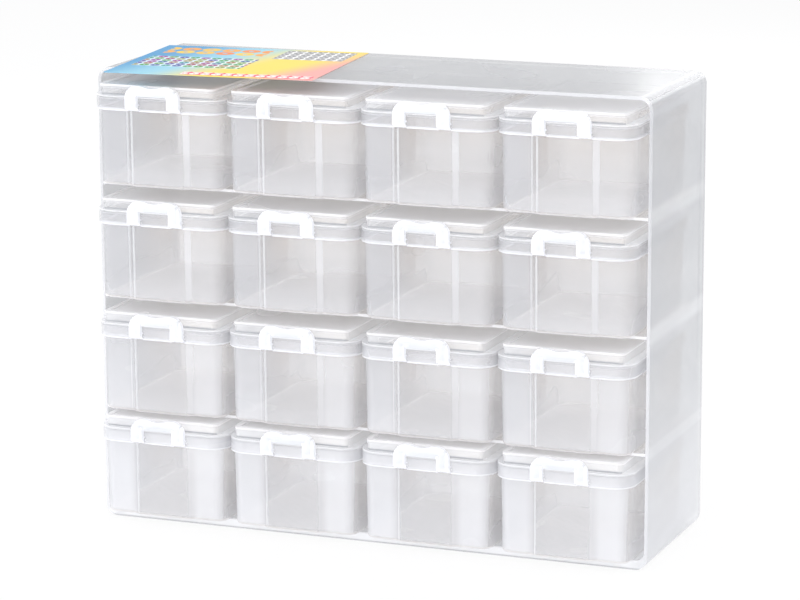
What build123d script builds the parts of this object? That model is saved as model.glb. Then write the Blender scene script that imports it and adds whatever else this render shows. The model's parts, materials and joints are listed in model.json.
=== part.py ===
from build123d import *
import os

# Bead sorting cabinet: an open-fronted shell with three shelves, and sixteen
# lidded boxes that slide out of it. Millimetres, Z up, X across the front, Y to
# the back, origin in the middle of the footprint on the surface it stands on.

# Number of boxes
columns = 4
rows = 4

# Box body
rim_width = 92.0
rim_depth = 130.5
rim_corner = 14.0
rim_height = 58.8
rim_band = 8.0
rim_side_overhang = 1.6
rim_front_overhang = 5.6
rim_plate = 1.2
skirt_wall = 1.2
body_wall = 1.2
body_floor = 1.4
body_corner = 9.0
body_draft = 1.0
foot_round = 3.0
floor_round = 1.6
panel_width = 36.0
panel_jog = 4.2
panel_rise = 2.2

# Lid
lid_gap = 0.15
lid_flange = 1.4
lid_wall = 1.3
lid_height = 8.8
lid_side_ledge = 6.0
lid_front_ledge = 3.2
lid_corner = 3.5
lid_border = 2.6
lid_border_height = 1.1
lid_lip = 0.7
lid_lip_height = 2.6
plug_gap = 0.5
plug_wall = 1.2
plug_height = 1.7

# Pivots of lid and latch
pin_radius = 1.1
bore_radius = 1.3
knuckle_radius = 2.3
knuckle_gap = 0.4
knuckle_end_gap = 0.3
snap_slot = 1.9
hinge_spacing = 56.0
hinge_length = 14.0
ear_wall = 1.6

# Latch
latch_width = 38.0
latch_thickness = 4.4
latch_gap = 0.3
latch_rise = 0.8
latch_dip = 1.6
latch_shoulder = 8.5
latch_foot = 8.0
latch_window = 8.0
latch_edge_round = 1.5
tongue_width = 3.0
tongue_length = 4.0
tongue_spacing = 7.4
hook_width = 30.0
hook_height = 1.6
hook_grip = 1.2
hook_clearance = 0.7

# Cabinet
cabinet_wall = 2.0
cabinet_back = 2.0
cabinet_corner = 8.0
back_edge_round = 1.2
base_height = 6.0
base_floor = 1.5
base_skirt = 2.4
shelf_thickness = 1.8
shelf_clearance = 0.2
rail_height = 1.2
rail_reach = 1.5
head_room = 5.6
low_head_room = 0.4
rail_setback = 1.0

# Fit of the boxes in the cabinet
column_gap = 1.0
left_play = 0.5
right_play = 3.5
seat_gap = 0.1
box_protrusion = 19.5
box_back_gap = 1.2

# Card on top of the cabinet, which stands out over the front edge as in the photo
card_width = 142.0
card_depth = 128.0
card_thickness = 0.4
card_corner = 1.0
card_x = 79.5
card_y = 47.5
card_turn = 5.2

# Heights in a box, from its foot
rim_bottom = rim_height - rim_band
lid_bottom = rim_height + lid_gap
flange_top = lid_bottom + lid_flange
lid_top = rim_height + lid_height
latch_top = lid_top + latch_rise
hinge_z = flange_top - knuckle_radius
latch_axis_z = rim_bottom + knuckle_radius + latch_gap

# Places along the depth of a box, from the middle of its rim
half_depth = rim_depth / 2
hinge_y = half_depth + knuckle_radius + knuckle_gap
latch_axis_y = -half_depth + skirt_wall / 2
latch_back_y = -half_depth - latch_gap
latch_front_y = latch_back_y - latch_thickness

# Overall sizes of the cabinet
pitch = rim_width + column_gap
inner_width = columns * pitch + left_play + right_play
cabinet_width = inner_width + 2 * cabinet_wall
row_clear = latch_top + head_room
low_clear = latch_top + low_head_room
row_pitch = row_clear + shelf_thickness
first_shelf = base_height + low_clear + shelf_thickness
cabinet_height = first_shelf + (rows - 2) * row_pitch + row_clear + cabinet_wall
hinge_reach = hinge_y + knuckle_radius - half_depth
cabinet_depth = rim_depth - box_protrusion + hinge_reach + box_back_gap + cabinet_back
front_reach = box_protrusion - half_depth - latch_front_y
back_y = (cabinet_depth + front_reach) / 2
front_y = back_y - cabinet_depth
box_y = front_y - box_protrusion + half_depth

os.makedirs("parts", exist_ok=True)


def shelf_top(level):
    """Height of what the boxes of a level stand on, level 0 being the base."""
    if level == 0:
        return base_height
    return first_shelf + (level - 1) * row_pitch


def export_piece(piece, label):
    """Name a piece and write its STEP file."""
    piece.part.label = label
    export_step(piece.part, f"parts/{label}.step")


# Box body, drafted, with a skirt hanging from its rim
body_width = rim_width - 2 * rim_side_overhang
body_depth = rim_depth - 2 * rim_front_overhang
foot_place = (latch_width - latch_foot) / 2
notch_width = latch_foot + 2 * knuckle_end_gap
notch_height = latch_axis_z + knuckle_radius + knuckle_gap - rim_bottom
latch_pin_length = notch_width + 2 * skirt_wall
ear_place = hinge_length / 2 + knuckle_end_gap + ear_wall / 2
hinge_pin_length = hinge_length + 2 * knuckle_end_gap + ear_wall
knuckle_places = [-hinge_spacing / 2, hinge_spacing / 2]
ear_places = [x + side * ear_place for x in knuckle_places for side in (-1, 1)]

with BuildSketch() as body_outline:
    RectangleRounded(body_width, body_depth, body_corner)
    for side in (-1, 1):
        with BuildLine() as panel_line:
            Polyline(
                (-panel_width / 2 - panel_jog, side * body_depth / 2),
                (-panel_width / 2, side * (body_depth / 2 + panel_rise)),
                (panel_width / 2, side * (body_depth / 2 + panel_rise)),
                (panel_width / 2 + panel_jog, side * body_depth / 2),
                close=True,
            )
        make_face()

with BuildSketch() as mouth_outline:
    add(body_outline.sketch)
    offset(amount=-body_wall, kind=Kind.INTERSECTION, mode=Mode.REPLACE)

with BuildPart() as body_shape:
    with BuildSketch(Plane.XY.offset(rim_height)) as top_sketch:
        add(body_outline.sketch)
    extrude(amount=-rim_height, taper=body_draft)
    fillet(body_shape.edges().group_by(Axis.Z)[0], radius=foot_round)

with BuildPart() as cavity_shape:
    with BuildSketch(Plane.XY.offset(rim_height)) as mouth_sketch:
        add(mouth_outline.sketch)
    extrude(amount=body_floor - rim_height, taper=body_draft)
    fillet(cavity_shape.edges().group_by(Axis.Z)[0], radius=floor_round)

with BuildPart() as box_body:
    with BuildSketch(Plane.XY.offset(rim_bottom)) as rim_sketch:
        RectangleRounded(rim_width, rim_depth, rim_corner)
    extrude(amount=rim_band)
    with BuildSketch(Plane.XY.offset(rim_bottom)) as skirt_sketch:
        RectangleRounded(
            rim_width - 2 * skirt_wall, rim_depth - 2 * skirt_wall, rim_corner - skirt_wall
        )
    extrude(amount=rim_band - rim_plate, mode=Mode.SUBTRACT)
    add(body_shape.part)
    add(cavity_shape.part, mode=Mode.SUBTRACT)
    # Notches for the feet of the latch, each crossed by a pin
    with BuildSketch(Plane.XZ.offset(half_depth + latch_gap)) as notch_sketch:
        with Locations((-foot_place, rim_bottom), (foot_place, rim_bottom)):
            Rectangle(notch_width, notch_height, align=(Align.CENTER, Align.MIN))
    extrude(amount=-(skirt_wall + 2 * latch_gap), mode=Mode.SUBTRACT)
    for x in (-foot_place, foot_place):
        with BuildSketch(Plane.YZ.offset(x - latch_pin_length / 2)) as latch_pin:
            with Locations((latch_axis_y, latch_axis_z)):
                Circle(pin_radius)
        extrude(amount=latch_pin_length)
    # Ears behind the rim, with the pins that the lid turns on
    for x in ear_places:
        with BuildSketch(Plane.YZ.offset(x - ear_wall / 2)) as ear_sketch:
            with Locations((hinge_y, hinge_z)):
                Circle(knuckle_radius)
            with Locations((half_depth - skirt_wall / 2, hinge_z)):
                Rectangle(
                    hinge_y - half_depth + skirt_wall / 2, knuckle_radius, align=(Align.MIN, Align.MAX)
                )
        extrude(amount=ear_wall)
    for x in knuckle_places:
        with BuildSketch(Plane.YZ.offset(x - hinge_pin_length / 2)) as hinge_pin:
            with Locations((hinge_y, hinge_z)):
                Circle(pin_radius)
        extrude(amount=hinge_pin_length)

# Lid, a flange with a hollow plateau, a lip and a border on top and a plug ring below
plateau_width = rim_width - 2 * lid_side_ledge
plateau_depth = rim_depth - lid_front_ledge - lid_side_ledge
plateau_y = (lid_front_ledge - lid_side_ledge) / 2
plug_side = body_width / 2 - body_wall - plug_gap
plug_back = body_depth / 2 - body_wall - plug_gap
throat_front = -plug_back + plug_wall
throat_back = min(plug_back - plug_wall, plateau_y + plateau_depth / 2 - lid_wall)

with BuildPart() as lid:
    with BuildSketch(Plane.XY.offset(lid_bottom)) as flange_sketch:
        RectangleRounded(rim_width, rim_depth, rim_corner)
    extrude(amount=lid_flange)
    with BuildSketch(Plane.XY.offset(flange_top)) as plateau_sketch:
        with Locations((0, plateau_y)):
            RectangleRounded(plateau_width, plateau_depth, lid_corner)
    extrude(amount=lid_top - flange_top)
    with BuildSketch(Plane.XY.offset(lid_top)) as lip_sketch:
        with Locations((0, plateau_y)):
            RectangleRounded(
                plateau_width + 2 * lid_lip, plateau_depth + 2 * lid_lip, lid_corner + lid_lip
            )
    extrude(amount=-lid_lip_height)
    with BuildSketch(Plane.XY.offset(lid_top)) as tray_sketch:
        with Locations((0, plateau_y)):
            RectangleRounded(
                plateau_width - 2 * lid_border, plateau_depth - 2 * lid_border, lid_corner / 2
            )
    extrude(amount=-lid_border_height, mode=Mode.SUBTRACT)
    with BuildSketch(Plane.XY.offset(flange_top)) as hollow_sketch:
        with Locations((0, plateau_y)):
            RectangleRounded(
                plateau_width - 2 * lid_wall, plateau_depth - 2 * lid_wall, lid_corner - lid_wall
            )
    extrude(amount=lid_top - lid_border_height - lid_wall - flange_top, mode=Mode.SUBTRACT)
    with BuildSketch(Plane.XY.offset(lid_bottom)) as throat_sketch:
        with Locations((0, (throat_front + throat_back) / 2)):
            RectangleRounded(
                plateau_width - 2 * lid_wall, throat_back - throat_front, lid_corner - lid_wall
            )
    extrude(amount=lid_flange, mode=Mode.SUBTRACT)
    with BuildSketch(Plane.XY.offset(lid_bottom)) as plug_sketch:
        RectangleRounded(2 * plug_side, 2 * plug_back, body_corner - body_wall - plug_gap)
        RectangleRounded(
            2 * plug_side - 2 * plug_wall,
            2 * plug_back - 2 * plug_wall,
            body_corner - body_wall - plug_gap - plug_wall,
            mode=Mode.SUBTRACT,
        )
    extrude(amount=-plug_height)
    # Knuckles that snap over the pins of the body
    for x in knuckle_places:
        with BuildSketch(Plane.YZ.offset(x - hinge_length / 2)) as knuckle_sketch:
            with Locations((hinge_y, hinge_z)):
                Circle(knuckle_radius)
            with Locations((half_depth - lid_flange, flange_top)):
                Rectangle(
                    hinge_y - half_depth + lid_flange, lid_flange, align=(Align.MIN, Align.MAX)
                )
            with Locations((hinge_y, hinge_z)):
                Circle(bore_radius, mode=Mode.SUBTRACT)
                Rectangle(
                    snap_slot, 2 * knuckle_radius, align=(Align.CENTER, Align.MAX), mode=Mode.SUBTRACT
                )
        extrude(amount=hinge_length)

# Latch, an arch with two feet that snap over the pins in the rim
shoulder_x = latch_width / 2 - latch_shoulder
window_half = latch_width / 2 - latch_foot
window_top = latch_axis_z + latch_window
wave_middle = latch_top - latch_dip / 2

with BuildPart() as latch:
    with BuildSketch(Plane.XZ.offset(-latch_back_y)) as arch_sketch:
        with BuildLine() as arch_line:
            left_foot = Line((-window_half, latch_axis_z), (-latch_width / 2, latch_axis_z))
            left_side = Line(left_foot @ 1, (-latch_width / 2, latch_top - latch_shoulder))
            left_shoulder = RadiusArc(left_side @ 1, (-shoulder_x, latch_top), latch_shoulder)
            fall = TangentArc(left_shoulder @ 1, (-shoulder_x / 2, wave_middle), tangent=(1, 0))
            TangentArc(fall @ 1, (0, latch_top - latch_dip), tangent=fall % 1)
            climb = TangentArc(
                (0, latch_top - latch_dip), (shoulder_x / 2, wave_middle), tangent=(1, 0)
            )
            TangentArc(climb @ 1, (shoulder_x, latch_top), tangent=climb % 1)
            right_shoulder = RadiusArc(
                (shoulder_x, latch_top), (latch_width / 2, latch_top - latch_shoulder), latch_shoulder
            )
            right_side = Line(right_shoulder @ 1, (latch_width / 2, latch_axis_z))
            Polyline(
                right_side @ 1, (window_half, latch_axis_z), (window_half, window_top),
                (-window_half, window_top), left_foot @ 0,
            )
        make_face()
        with Locations((-tongue_spacing / 2, window_top), (tongue_spacing / 2, window_top)):
            Trapezoid(
                tongue_width * 2, tongue_length, 68, align=(Align.CENTER, Align.MAX), rotation=180
            )
    extrude(amount=latch_thickness)
    front_edges = latch.faces().sort_by(Axis.Y)[0].outer_wire().edges()
    crown_edges = front_edges.filter_by(lambda e: e.center().Z > window_top + tongue_width)
    side_edges = front_edges.filter_by(lambda e: abs(e.center().X) > latch_width / 2 - pin_radius)
    fillet(crown_edges + side_edges, latch_edge_round)
    with BuildSketch(Plane.YZ.offset(-hook_width / 2)) as hook_sketch:
        with Locations((latch_back_y, flange_top + hook_clearance)):
            Rectangle(latch_gap + hook_grip, hook_height, align=(Align.MIN, Align.MIN))
    extrude(amount=hook_width)
    for x in (-foot_place, foot_place):
        with BuildSketch(Plane.YZ.offset(x - latch_foot / 2)) as ring_sketch:
            with Locations((latch_axis_y, latch_axis_z)):
                Circle(knuckle_radius)
        extrude(amount=latch_foot)
        with BuildSketch(Plane.YZ.offset(x - latch_foot / 2)) as bore_sketch:
            with Locations((latch_axis_y, latch_axis_z)):
                Circle(bore_radius)
                Rectangle(2 * knuckle_radius, snap_slot, align=(Align.MIN, Align.CENTER))
        extrude(amount=latch_foot, mode=Mode.SUBTRACT)

# Cabinet shell, closed at the back, with rails for the shelves on its side walls
inner_back_y = back_y - cabinet_back
base_side = cabinet_corner + base_skirt
rail_x = inner_width / 2 - rail_reach / 2
upper_rails = [shelf_top(level) + shelf_clearance + rail_height / 2 for level in range(1, rows)]
lower_rails = [
    shelf_top(level) - shelf_thickness - rail_height / 2 for level in range(1, rows)
]
rail_places = [(side * rail_x, z) for z in upper_rails + lower_rails for side in (-1, 1)]

with BuildPart() as cabinet_shell:
    with BuildSketch(Plane.XZ.offset(-back_y)) as shell_sketch:
        with Locations((0, cabinet_height / 2)):
            RectangleRounded(cabinet_width, cabinet_height, cabinet_corner)
    extrude(amount=cabinet_depth)
    fillet(cabinet_shell.edges().group_by(Axis.Y)[-1], radius=back_edge_round)
    with BuildSketch(Plane.XZ.offset(-front_y)) as room_sketch:
        with Locations((0, base_height)):
            Rectangle(
                inner_width, cabinet_height - base_height - cabinet_wall, align=(Align.CENTER, Align.MIN)
            )
        fillet(room_sketch.vertices().group_by(Axis.Z)[-1], radius=cabinet_corner - cabinet_wall)
    extrude(amount=cabinet_back - cabinet_depth, mode=Mode.SUBTRACT)
    with BuildSketch(Plane.XY) as base_sketch:
        with Locations((0, (front_y + back_y) / 2)):
            Rectangle(cabinet_width - 2 * base_side, cabinet_depth - 2 * base_skirt)
    extrude(amount=base_height - base_floor, mode=Mode.SUBTRACT)
    with BuildSketch(Plane.XZ.offset(-inner_back_y)) as rail_sketch:
        with Locations(*rail_places):
            Rectangle(rail_reach, rail_height)
    extrude(amount=inner_back_y - front_y - rail_setback)

# Shelf, slid in between its rails
shelf_depth = inner_back_y - shelf_clearance - front_y
with BuildPart() as shelf:
    with BuildSketch(Plane.XY) as shelf_sketch:
        with Locations((0, front_y + shelf_depth / 2)):
            Rectangle(inner_width - 2 * shelf_clearance, shelf_depth)
    extrude(amount=-shelf_thickness)

# Card stuck on the top
with BuildPart() as label_card:
    with BuildSketch(Plane.XY.offset(cabinet_height)) as card_sketch:
        with Locations((card_x - cabinet_width / 2, front_y + card_y)):
            RectangleRounded(card_width, card_depth, card_corner, rotation=card_turn)
    extrude(amount=card_thickness)


def export_copy(piece, label, place):
    """Write a copy of a piece, moved from its own frame to its place."""
    with BuildPart() as placed:
        with Locations(place):
            add(piece.part)
    export_piece(placed, label)


export_piece(cabinet_shell, "cabinet_shell")
export_piece(label_card, "label_card")
for level in range(1, rows):
    export_copy(shelf, f"shelf_{rows - level}", (0, 0, shelf_top(level)))
for level in range(rows):
    for column in range(columns):
        box_x = left_play + (column + 1 / 2) * pitch - inner_width / 2
        place = (box_x, box_y, shelf_top(level) + seat_gap)
        cell = f"r{rows - level}c{column + 1}"
        export_copy(box_body, f"box_{cell}", place)
        export_copy(lid, f"lid_{cell}", place)
        export_copy(latch, f"latch_{cell}", place)
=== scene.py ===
import json
import math

import bpy
from mathutils import Matrix, Vector


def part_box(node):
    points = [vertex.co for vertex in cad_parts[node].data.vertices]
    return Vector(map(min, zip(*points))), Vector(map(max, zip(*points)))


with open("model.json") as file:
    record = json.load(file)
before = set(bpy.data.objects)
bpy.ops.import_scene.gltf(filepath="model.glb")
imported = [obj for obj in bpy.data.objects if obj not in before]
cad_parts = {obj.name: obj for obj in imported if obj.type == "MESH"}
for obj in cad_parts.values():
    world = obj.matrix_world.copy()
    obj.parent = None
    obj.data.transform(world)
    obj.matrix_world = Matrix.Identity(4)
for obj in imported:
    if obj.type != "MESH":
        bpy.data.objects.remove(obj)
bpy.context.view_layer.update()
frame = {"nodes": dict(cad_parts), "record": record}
nodes = frame["nodes"]
MM = 0.001


def size_mm(piece):
    """Width, depth and height of a piece's own bounding box, in millimetres."""
    low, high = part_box(piece)
    return (high - low) / MM


# Node helpers
class Tree:
    """A material's node tree, with short calls for the nodes used here."""

    def __init__(self, name):
        self.material = bpy.data.materials.new(name)
        self.material.use_nodes = True
        self.nodes = self.material.node_tree.nodes
        self.links = self.material.node_tree.links
        self.nodes.clear()
        self.output = self.nodes.new("ShaderNodeOutputMaterial")

    def put(self, socket, value):
        if isinstance(value, bpy.types.NodeSocket):
            self.links.new(value, socket)
        else:
            socket.default_value = value

    def math(self, operation, a, b=0.0, clamp=False):
        node = self.nodes.new("ShaderNodeMath")
        node.operation = operation
        node.use_clamp = clamp
        self.put(node.inputs[0], a)
        self.put(node.inputs[1], b)
        return node.outputs[0]

    def ramp(self, value, low, high, out_low=0.0, out_high=1.0, smooth=True):
        node = self.nodes.new("ShaderNodeMapRange")
        node.interpolation_type = "SMOOTHSTEP" if smooth else "LINEAR"
        for socket, number in zip(node.inputs, (value, low, high, out_low, out_high)):
            self.put(socket, number)
        return node.outputs[0]

    def rise(self, value, low, high, amount=1.0):
        """0 below low and amount above high."""
        return self.ramp(value, low, high, 0.0, amount)

    def fall(self, value, low, high, amount=1.0):
        """amount below low and 0 above high."""
        return self.ramp(value, low, high, amount, 0.0)

    def apart(self, value, centre):
        """How far value is from centre, to either side."""
        return self.math("ABSOLUTE", self.math("SUBTRACT", value, centre))

    def band(self, value, centre, half, soft, amount=1.0):
        """amount where value is within half of centre, fading over soft."""
        return self.fall(self.apart(value, centre), half, half + soft, amount)

    def times(self, *factors):
        product = factors[0]
        for factor in factors[1:]:
            product = self.math("MULTIPLY", product, factor)
        return product

    def most(self, *values):
        top = values[0]
        for value in values[1:]:
            top = self.math("MAXIMUM", top, value)
        return top

    def coords(self, kind="Object"):
        return self.nodes.new("ShaderNodeTexCoord").outputs[kind]

    def split(self, vector):
        node = self.nodes.new("ShaderNodeSeparateXYZ")
        self.links.new(vector, node.inputs[0])
        return node.outputs

    def height(self):
        """Metres above the surface that the object stands on, at rest."""
        return self.split(self.coords())[2]

    def inside(self, piece):
        """Millimetres from the low corner of a piece's own bounding box."""
        shares = self.split(self.coords("Generated"))
        return [self.math("MULTIPLY", share, size) for share, size in zip(shares, size_mm(piece))]

    def stretched(self, vector, scale):
        node = self.nodes.new("ShaderNodeMapping")
        self.links.new(vector, node.inputs["Vector"])
        node.inputs["Scale"].default_value = scale
        return node.outputs[0]

    def noise(self, vector, scale, detail=2.0):
        node = self.nodes.new("ShaderNodeTexNoise")
        self.links.new(vector, node.inputs["Vector"])
        node.inputs["Scale"].default_value = scale
        node.inputs["Detail"].default_value = detail
        return node.outputs["Fac"]

    def mix(self, factor, a, b):
        node = self.nodes.new("ShaderNodeMix")
        node.data_type = "RGBA"
        self.put(node.inputs[0], factor)
        self.put(node.inputs[6], a)
        self.put(node.inputs[7], b)
        return node.outputs[2]

    def facing(self):
        node = self.nodes.new("ShaderNodeLayerWeight")
        node.inputs["Blend"].default_value = 0.5
        return node.outputs["Facing"]

    def surface(self, **values):
        node = self.nodes.new("ShaderNodeBsdfPrincipled")
        for name, value in values.items():
            self.put(node.inputs[name.replace("_", " ")], value)
        self.links.new(node.outputs[0], self.output.inputs["Surface"])
        return self.material

    def lamp_shade(self, shade):
        """Give lamp rays a plain tint to pass through in place of the surface."""
        seen = self.output.inputs["Surface"].links[0].from_socket
        passed = self.nodes.new("ShaderNodeBsdfTransparent")
        passed.inputs["Color"].default_value = shade
        both = self.nodes.new("ShaderNodeMixShader")
        self.links.new(self.nodes.new("ShaderNodeLightPath").outputs["Is Shadow Ray"], both.inputs[0])
        self.links.new(seen, both.inputs[1])
        self.links.new(passed.outputs[0], both.inputs[2])
        self.links.new(both.outputs[0], self.output.inputs["Surface"])
        return self.material


def colour(red, green, blue):
    return (red, green, blue, 1.0)


def grey(level):
    return colour(level, level, level)


# See-through plastics
# White of painted highlights and painted light, also of the real diamond lines on box floors
WHITE = colour(0.96, 0.965, 1.0)
# Grey of painted shade in creases and corners, on the cabinet's top and along its foot
PAINTED_SHADE_GREY = colour(0.30, 0.31, 0.33)
# Colour of painted warm reflection and shade deep inside, and of a painted warm reflection on lid tops
WARM_REFLECTION = colour(0.74, 0.65, 0.56)
# How strongly the painted light and the painted shade are mixed in
WHITE_STRENGTH = 1.6
PAINTED_SHADE_STRENGTH = 2.0
FLOW_STRETCH = (1, 1, 2.4)
FLOW_SCALE = 18.0
FLOW_RANGE = (0.3, 0.7)
CLOUD = (0.85, 1.15)
GLOSS = (0.8, 1.25)
RIM_POWER = 2.2
PLASTIC_IOR = 1.49


def plastic(name, clear, deep, alpha, edge_alpha, roughness, shade, details, shine=0.5):
    """Moulded see-through plastic: thin in the middle of a face, milkier at its edges.

    details(tree) gives four masks: where it is painted whiter and fuller (painted highlights on
    edges, painted light on lower parts, and the real lines on box floors), where painted shade
    darkens it, where a painted warm reflection and shade tint it and where it is only fuller.
    Lamp rays meet a plain tint, shade, which keeps a stack of many walls quick to render.
    """
    tree = Tree(name)
    flow = tree.noise(tree.stretched(tree.coords(), FLOW_STRETCH), FLOW_SCALE, 1.0)
    rim = tree.math("POWER", tree.facing(), RIM_POWER)
    body = tree.ramp(rim, 0.0, 1.0, alpha, edge_alpha, smooth=False)
    opacity = tree.times(body, tree.ramp(flow, *FLOW_RANGE, *CLOUD, smooth=False))
    tint = tree.mix(flow, clear, deep)
    white, dark, warm, milk = details(tree)
    # Painted warm reflection, painted highlights and light, and painted shade go into the tint here
    tint = tree.mix(warm, tint, WARM_REFLECTION)
    tint = tree.mix(tree.math("MULTIPLY", white, WHITE_STRENGTH, clamp=True), tint, WHITE)
    tint = tree.mix(tree.math("MULTIPLY", dark, PAINTED_SHADE_STRENGTH, clamp=True), tint, PAINTED_SHADE_GREY)
    opacity = tree.math("ADD", opacity, tree.most(white, dark, milk), clamp=True)
    gloss = tree.ramp(flow, *FLOW_RANGE, *[roughness * share for share in GLOSS], smooth=False)
    tree.surface(
        Base_Color=tint, Roughness=gloss, IOR=PLASTIC_IOR, Specular_IOR_Level=shine, Alpha=opacity,
    )
    return tree.lamp_shade(shade)


# Height at which the painted light on the lower rows fades out, in metres from the floor
FADE_TOP = 0.26

# Where each plastic differs over a piece, in millimetres from the piece's low corner
SHELL_WALL = 2.0
SHELL_BASE = 6.0
SHELF_LEVELS = (76, 152, 228)
BOX_FLOOR = 1.6
BOX_RIM_FOOT = 50.5
BOX_RIM_LINE = 51.1
BOX_RIM_TOP = 58.5
BOX_PANEL_LINES = ((27.8, 0.32), (23.8, 0.24))
BOX_PANEL_JOG = 66.2
DIAMOND_SIZE = 9.0
LID_FLANGE = 4.2
LID_GROOVE = 5.1
LID_PLATE = 8.9
LID_TOP = 10.2
LID_BORDER = 11.4
LATCH_OUTER_EDGE = 0.9
LATCH_INNER_EDGE = 7.6
LATCH_ARM_TOP = 11.5
LATCH_BAR = 14.6


def shell_details(tree):
    x, y, z = tree.inside("cabinet_shell")
    wide, deep, tall = size_mm("cabinet_shell")
    wall_edge = (-SHELL_WALL - 0.1, -SHELL_WALL + 0.1)
    side = tree.rise(tree.apart(x, wide / 2), *[wide / 2 + edge for edge in wall_edge])
    top = tree.rise(z, *[tall + edge for edge in wall_edge])
    # Painted highlights on the front edges. The base band, the back wall and bands where the shelves meet
    # the sides are whiter.
    front_edge_highlights = tree.fall(y, 0.5, 1.3, 0.42)
    base = tree.fall(z, SHELL_BASE - 1, SHELL_BASE + 1, 0.30)
    back = tree.rise(y, deep - 2.6, deep - 1.8, 0.13)
    # Painted light: the side walls lighter low down
    low_side_light = tree.times(side, tree.fall(z, 10, 140, 0.30))
    shelves = [tree.times(side, tree.band(z, level, 2, 6, 0.26)) for level in SHELF_LEVELS]
    white = tree.most(front_edge_highlights, base, back, low_side_light, *shelves)
    # Painted shade on the top behind its front edge, higher up and towards the back on the side walls, where
    # they meet the back wall, and a painted shadow line along the foot
    top_shade = tree.times(top, tree.rise(y, 1.5, 3.0, 0.33))
    side_upper_shade = tree.times(side, tree.ramp(z, 110, 280, 0.02, 0.17))
    side_rear_shade = tree.times(side, tree.rise(y, 100, 107, 0.24), tree.rise(z, 60, 230))
    back_corner_shade = tree.times(side, tree.rise(y, deep - 1.6, deep - 0.8, 0.28))
    foot_shadow_line = tree.fall(z, 0.5, 1.5, 0.32)
    dark = tree.most(top_shade, side_upper_shade, side_rear_shade, back_corner_shade, foot_shadow_line)
    milk = tree.most(tree.times(side, 0.34), tree.times(top, 0.28))
    return white, dark, 0.0, milk


def shelf_details(tree):
    depth = tree.inside("shelf_1")[1]
    # Painted highlight on the front edge, and painted warm reflection and shade growing towards the back
    front_edge_highlight = tree.fall(depth, 0.5, 1.3, 0.5)
    warm = tree.ramp(depth, 20, 100, 0.1, 0.5)
    return front_edge_highlight, 0.0, warm, 0.0


def diamond_lines(tree, x, y):
    """Thin lines both ways across a box's floor, which cross in diamonds."""
    slopes = [tree.math(way, x, y) for way in ("ADD", "SUBTRACT")]
    slants = [tree.math("FRACT", tree.math("DIVIDE", slope, DIAMOND_SIZE)) for slope in slopes]
    return tree.most(*[tree.band(slant, 0.5, 0.07, 0.08) for slant in slants])


def box_front(tree, x, height):
    """Painted highlights on a box's front face, at its corners and its raised panel's lines, and painted
    light on its left part and on the lower rows.
    """
    across = tree.apart(x, size_mm("box_r1c1").x / 2)
    # Painted highlights at the corners and panel lines, painted light on the left part and lower rows
    corners = tree.rise(across, 35.0, 44.0, 0.07)
    left_side_light = tree.fall(x, 22.0, 24.0, 0.10)
    beside_panel = tree.ramp(across, 15.0, 26.0, 0.42, 1.0)
    lower_row_light = tree.times(tree.fall(height, 0.0, FADE_TOP, 0.30), beside_panel)
    panel_jog_highlight = tree.band(x, BOX_PANEL_JOG, 1.5, 0.8, 0.20)
    panel_line_highlights = [tree.band(x, place, 0.3, 0.4, amount) for place, amount in BOX_PANEL_LINES]
    return tree.most(corners, left_side_light, lower_row_light, panel_jog_highlight, *panel_line_highlights)


def box_details(tree):
    x, y, z = tree.inside("box_r1c1")
    height = tree.height()
    below_rim = tree.fall(z, BOX_RIM_FOOT - 1, BOX_RIM_FOOT)
    # Painted highlights on the rim's lines, the foot and the right corner; painted light on the skirt, low
    # in the box and on the front, stronger on lower rows. The floor lines are the floor's real diamond
    # pattern.
    rim_line_highlight = tree.band(z, BOX_RIM_LINE, 0.4, 0.3, 0.40)
    rim_top_highlight = tree.band(z, BOX_RIM_TOP, 0.3, 0.3, 0.20)
    skirt_light = tree.rise(z, BOX_RIM_FOOT - 0.1, BOX_RIM_FOOT + 0.4)
    skirt_light = tree.times(skirt_light, tree.ramp(height, 0.0, FADE_TOP, 0.24, 0.04))
    foot = tree.fall(z, 0.4, 2.6, 0.45)
    low_painted_light = tree.fall(z, 1.0, 34.0, 0.14)
    floor_lines = tree.times(diamond_lines(tree, x, y), tree.fall(z, BOX_FLOOR, BOX_FLOOR + 0.3, 0.30))
    right_corner_highlight = tree.times(tree.rise(x, 89.6, 90.2, 0.12), tree.fall(y, 13.0, 17.0), below_rim)
    front = tree.times(box_front(tree, x, height), tree.fall(y, 9.0, 11.0), below_rim)
    white = tree.most(rim_line_highlight, rim_top_highlight, skirt_light, foot, low_painted_light, floor_lines, right_corner_highlight, front)
    # Painted warm reflection and shade deep inside, towards the back and on the floor
    back_warm_reflection = tree.times(tree.rise(y, 45.0, 115.0, 0.9), tree.ramp(z, 2.0, 30.0, 0.5, 1.0))
    floor_warm_reflection = tree.fall(z, 1.5, 2.5, 0.6)
    warm = tree.most(back_warm_reflection, floor_warm_reflection)
    return white, 0.0, warm, tree.times(warm, 0.12)


def lid_details(tree):
    y, z = tree.inside("lid_r1c1")[1:]
    # Painted highlights along the border and the flange; painted light on the plate, the top and the lower
    # rows; painted shade in the crease above the flange; a painted warm reflection on the top
    border_highlight = tree.band(z, LID_BORDER, 0.3, 0.3, 0.40)
    flange_highlight = tree.band(z, LID_FLANGE, 0.3, 0.3, 0.35)
    plate_light = tree.rise(z, LID_PLATE, LID_PLATE + 0.3, 0.12)
    lower_row_light = tree.fall(tree.height(), 0.0, FADE_TOP, 0.22)
    top = tree.rise(z, LID_TOP, LID_TOP + 0.2)
    crease_shade = tree.times(tree.band(z, LID_GROOVE, 0.45, 0.3, 0.40), tree.fall(y, 4.6, 5.0))
    white = tree.most(border_highlight, flange_highlight, plate_light, lower_row_light, tree.times(top, 0.40))
    return white, crease_shade, tree.times(top, 0.35), 0.0


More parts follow.
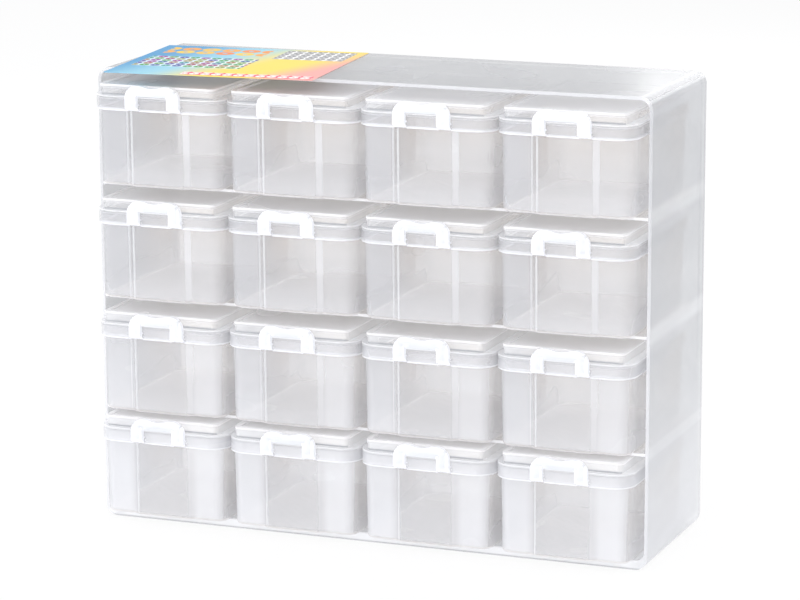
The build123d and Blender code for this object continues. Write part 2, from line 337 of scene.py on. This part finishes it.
def latch_details(tree):
    x, z = tree.inside("latch_r1c1")[::2]
    half_width = size_mm("latch_r1c1").x / 2
    across = tree.apart(x, half_width)
    # Painted highlights on the top bar, the edges of the arms and the feet
    bar_highlight = tree.rise(z, LATCH_BAR, LATCH_BAR + 0.8, 0.5)
    outer_edge_highlights = tree.band(across, half_width - LATCH_OUTER_EDGE, 0.7, 0.5, 0.5)
    inner_edge_highlights = tree.band(across, half_width - LATCH_INNER_EDGE, 0.4, 0.4, 0.5)
    arms = tree.fall(z, LATCH_ARM_TOP, LATCH_ARM_TOP + 0.5)
    feet_highlight = tree.fall(z, 1.0, 4.0, 0.3)
    white = tree.most(bar_highlight, outer_edge_highlights, tree.times(inner_edge_highlights, arms), feet_highlight)
    return white, 0.0, 0.0, 0.0


materials = {
    "cabinet_plastic": plastic(
        "cabinet_plastic", clear=colour(0.64, 0.65, 0.67), deep=colour(0.56, 0.57, 0.59),
        alpha=0.12, edge_alpha=0.45, roughness=0.16, shade=grey(0.975),
        details=shell_details, shine=0.25,
    ),
    "shelf_plastic": plastic(
        "shelf_plastic", clear=colour(0.84, 0.83, 0.82), deep=colour(0.78, 0.76, 0.74),
        alpha=0.16, edge_alpha=0.5, roughness=0.2, shade=colour(0.975, 0.975, 0.97),
        details=shelf_details,
    ),
    "box_plastic": plastic(
        "box_plastic", clear=colour(0.60, 0.605, 0.625), deep=colour(0.53, 0.535, 0.56),
        alpha=0.19, edge_alpha=0.46, roughness=0.22, shade=grey(0.97),
        details=box_details,
    ),
    "lid_plastic": plastic(
        "lid_plastic", clear=colour(0.82, 0.825, 0.84), deep=colour(0.76, 0.765, 0.78),
        alpha=0.22, edge_alpha=0.58, roughness=0.22, shade=grey(0.97),
        details=lid_details,
    ),
    "latch_plastic": plastic(
        "latch_plastic", clear=colour(0.84, 0.86, 0.89), deep=colour(0.78, 0.80, 0.84),
        alpha=0.50, edge_alpha=0.85, roughness=0.25, shade=grey(0.94),
        details=latch_details,
    ),
}


# Card, a plain print of beads in rows on a sky that turns to sun
CARD_TURN = math.radians(5.2)
CARD_SLANT = 0.35
SKY = colour(0.09, 0.34, 0.62)
PALE_SKY = colour(0.33, 0.66, 0.80)
SUN = colour(0.95, 0.74, 0.13)
CORAL = colour(0.90, 0.42, 0.38)
ICE = colour(0.86, 0.93, 0.97)
PAPER = colour(0.93, 0.93, 0.92)
INK = colour(0.12, 0.12, 0.14)
RED = colour(0.86, 0.08, 0.16)
CREAM = colour(0.98, 0.95, 0.90)
SOFT_EDGE_MM = 0.4
RING_SOFT = 0.04


def bead_rows(tree, u, v, size, hole, reach, hues, depth):
    """Rings in square cells: their mask and a colour from hues that changes from cell to cell."""
    across = tree.math("DIVIDE", u, size)
    along = tree.math("DIVIDE", v, size)
    parts = [tree.math("SUBTRACT", tree.math("FRACT", value), 0.5) for value in (across, along)]
    squares = [tree.math("MULTIPLY", part, part) for part in parts]
    away = tree.math("SQRT", tree.math("ADD", *squares))
    disc = tree.fall(away, reach - RING_SOFT, reach + RING_SOFT)
    ring = tree.times(disc, tree.rise(away, hole - RING_SOFT, hole + RING_SOFT))
    cell = tree.nodes.new("ShaderNodeCombineXYZ")
    tree.put(cell.inputs[0], tree.math("FLOOR", across))
    tree.put(cell.inputs[1], tree.math("FLOOR", along))
    chance = tree.nodes.new("ShaderNodeTexWhiteNoise")
    tree.links.new(cell.outputs[0], chance.inputs["Vector"])
    hue = tree.nodes.new("ShaderNodeCombineColor")
    hue.mode = "HSV"
    tree.put(hue.inputs[0], tree.ramp(chance.outputs["Value"], 0, 1, *hues, smooth=False))
    hue.inputs[1].default_value = 0.9
    hue.inputs[2].default_value = depth
    return ring, hue.outputs[0]


def patch(tree, u, v, middle, half):
    """1 in a rectangle on the card, in millimetres from the card's middle."""
    wide, tall = [tree.band(*each, SOFT_EDGE_MM) for each in zip((u, v), middle, half)]
    return tree.times(wide, tall)


def card_axes(tree):
    """Millimetres from the card's middle, along its front edge and towards its back."""
    low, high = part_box("label_card")
    middle = (low + high) / 2
    places = zip(tree.split(tree.coords())[:2], middle)
    x, y = [tree.math("DIVIDE", tree.math("SUBTRACT", place, centre), MM) for place, centre in places]
    across = tree.math("ADD", tree.times(x, math.cos(CARD_TURN)), tree.times(y, math.sin(CARD_TURN)))
    back = tree.math("SUBTRACT", tree.times(y, math.cos(CARD_TURN)), tree.times(x, math.sin(CARD_TURN)))
    return across, back


def card_material():
    tree = Tree("card_print")
    u, v = card_axes(tree)
    slant = tree.math("SUBTRACT", u, tree.times(v, CARD_SLANT))
    tint = tree.mix(tree.rise(slant, -70, -20), SKY, PALE_SKY)
    tint = tree.mix(tree.rise(slant, -25, 22), tint, SUN)
    tint = tree.mix(tree.rise(slant, 40, 74), tint, CORAL)
    small, small_tint = bead_rows(tree, u, v, size=7.5, hole=0.10, reach=0.44, hues=(0.0, 1.0), depth=0.35)
    large, large_tint = bead_rows(tree, u, v, size=14.0, hole=0.12, reach=0.46, hues=(0.03, 0.12), depth=0.9)
    strip = patch(tree, u, v, middle=(-27, -8), half=(37, 22))
    tint = tree.mix(tree.times(strip, 0.75), tint, ICE)
    tint = tree.mix(tree.times(strip, small), tint, small_tint)
    head = patch(tree, u, v, middle=(-28, 42), half=(35, 14))
    tint = tree.mix(tree.times(head, large), tint, large_tint)
    corner = patch(tree, u, v, middle=(41, 39), half=(24, 19))
    tint = tree.mix(corner, tint, PAPER)
    tint = tree.mix(tree.times(corner, small, 0.8), tint, INK)
    foot = patch(tree, u, v, middle=(24, -55), half=(44, 5.5))
    tint = tree.mix(foot, tint, RED)
    tint = tree.mix(tree.times(foot, small), tint, CREAM)
    tree.surface(Base_Color=tint, Roughness=0.5, Specular_IOR_Level=0.2)
    return tree.lamp_shade(grey(0.75))


materials["card"] = card_material()


# Finish of each CAD node
WELD_MM = 0.005
EDGE_ROUND_MM = 0.25
FLAT_WITHIN = math.radians(0.5)
SHARP_FROM = math.radians(40)


def dress(node, material):
    """Give a CAD node its material and soften its edges a little."""
    node.data.materials.clear()
    node.data.materials.append(material)
    weld = node.modifiers.new("weld", "WELD")
    weld.merge_threshold = WELD_MM * MM
    flat = node.modifiers.new("flat", "DECIMATE")
    flat.decimate_type = "DISSOLVE"
    flat.angle_limit = FLAT_WITHIN
    soft = node.modifiers.new("soft", "BEVEL")
    soft.width = EDGE_ROUND_MM * MM
    soft.segments = 2
    soft.limit_method = "ANGLE"
    soft.angle_limit = SHARP_FROM
    soft.use_clamp_overlap = True
    even = node.modifiers.new("even", "WEIGHTED_NORMAL")
    even.keep_sharp = True
    for polygon in node.data.polygons:
        polygon.use_smooth = True


for part in frame["record"]["subparts"]:
    dress(nodes[part["node"]], materials[part["material_slot"]])


# Camera, placed as for the photograph, from a fit to the cabinet's edges
FOCAL_PX = 3532.25
PICTURE_PX = 800
SENSOR_MM = 36.0
AZIMUTH = 0.370563
ELEVATION = 0.212630
ROLL = -0.002252
SIDE_MM = 1.0106
LIFT_MM = 2.2571
DISTANCE_MM = 2335.33
FIT_BACK_MM = 59.728
FIT_UP_MM = 152.192


def camera():
    shell_low, shell_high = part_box("cabinet_shell")
    middle = Vector(((shell_low.x + shell_high.x) / 2, shell_low.y + FIT_BACK_MM * MM, FIT_UP_MM * MM))
    forward = Vector((
        -math.sin(AZIMUTH) * math.cos(ELEVATION),
        math.cos(AZIMUTH) * math.cos(ELEVATION),
        -math.sin(ELEVATION),
    ))
    right = Vector((math.cos(AZIMUTH), math.sin(AZIMUTH), 0.0))
    up = right.cross(forward)
    turned_right = math.cos(ROLL) * right + math.sin(ROLL) * up
    turned_up = -math.sin(ROLL) * right + math.cos(ROLL) * up
    place = middle - (SIDE_MM * turned_right + LIFT_MM * turned_up + DISTANCE_MM * forward) * MM
    data = bpy.data.cameras.new("camera")
    data.sensor_width = SENSOR_MM
    data.lens = FOCAL_PX / PICTURE_PX * SENSOR_MM
    data.clip_start = 0.05
    data.clip_end = 60.0
    made = bpy.data.objects.new("camera", data)
    bpy.context.scene.collection.objects.link(made)
    axes = Matrix((turned_right, turned_up, -forward)).transposed().to_4x4()
    made.matrix_world = Matrix.Translation(place) @ axes
    bpy.context.scene.camera = made


camera()


# Studio
AIM = (0, 0, 0.15)


def soft_light(name, place, size, watts):
    data = bpy.data.lights.new(name, "AREA")
    data.shape = "RECTANGLE"
    data.size, data.size_y = size
    data.energy = watts
    made = bpy.data.objects.new(name, data)
    bpy.context.scene.collection.objects.link(made)
    made.location = place
    made.rotation_euler = (Vector(AIM) - Vector(place)).to_track_quat("-Z", "Y").to_euler()


soft_light("key", place=(-1.6, -1.9, 0.9), size=(1.4, 1.4), watts=34)
soft_light("fill", place=(1.6, -1.7, 0.7), size=(1.4, 1.4), watts=15)
soft_light("back", place=(0.3, 1.9, 1.2), size=(1.8, 1.2), watts=16)


def seen_rays(tree):
    """1 for rays that show the surroundings, 0 for those that only light things."""
    path = tree.nodes.new("ShaderNodeLightPath")
    total = path.outputs["Is Camera Ray"]
    for kind in ("Is Glossy Ray", "Is Transmission Ray"):
        node = tree.nodes.new("ShaderNodeMath")
        node.operation = "MAXIMUM"
        tree.links.new(total, node.inputs[0])
        tree.links.new(path.outputs[kind], node.inputs[1])
        total = node.outputs[0]
    return total


def background(tree, tint, strength):
    node = tree.nodes.new("ShaderNodeBackground")
    node.inputs["Color"].default_value = tint
    node.inputs["Strength"].default_value = strength
    return node.outputs[0]


def studio_world():
    """Cool light on the object, before a plain white backdrop."""
    world = bpy.data.worlds.new("studio")
    bpy.context.scene.world = world
    world.use_nodes = True
    tree = world.node_tree
    tree.nodes.clear()
    mixed = tree.nodes.new("ShaderNodeMixShader")
    tree.links.new(seen_rays(tree), mixed.inputs[0])
    tree.links.new(background(tree, colour(0.97, 0.975, 1.0), strength=0.85), mixed.inputs[1])
    tree.links.new(background(tree, grey(1.0), strength=1.0), mixed.inputs[2])
    output = tree.nodes.new("ShaderNodeOutputWorld")
    tree.links.new(mixed.outputs[0], output.inputs["Surface"])


studio_world()


# Floor, a pale sheet a little below the object's foot
FLOOR_DROP_MM = 0.2


def floor(half, shine):
    mesh = bpy.data.meshes.new("floor")
    corners = [(-half, -half, 0), (half, -half, 0), (half, half, 0), (-half, half, 0)]
    mesh.from_pydata(corners, [], [(0, 1, 2, 3)])
    made = bpy.data.objects.new("floor", mesh)
    bpy.context.scene.collection.objects.link(made)
    tree = Tree("floor_paint")
    grain = tree.noise(tree.coords(), 60.0)
    paint = tree.nodes.new("ShaderNodeBsdfDiffuse")
    tree.put(paint.inputs["Color"], tree.mix(grain, grey(0.93), grey(0.95)))
    glow = tree.nodes.new("ShaderNodeEmission")
    both = tree.nodes.new("ShaderNodeMixShader")
    tree.links.new(tree.times(seen_rays(tree), shine), both.inputs[0])
    tree.links.new(paint.outputs[0], both.inputs[1])
    tree.links.new(glow.outputs[0], both.inputs[2])
    tree.links.new(both.outputs[0], tree.output.inputs["Surface"])
    mesh.materials.append(tree.material)
    made.location.z = -FLOOR_DROP_MM * MM


floor(half=8.0, shine=0.85)
scene = bpy.context.scene
scene.view_settings.view_transform = "Standard"
scene.cycles.transparent_max_bounces = 48
scene.cycles.max_bounces = 5
scene.cycles.diffuse_bounces = 3
scene.cycles.glossy_bounces = 2
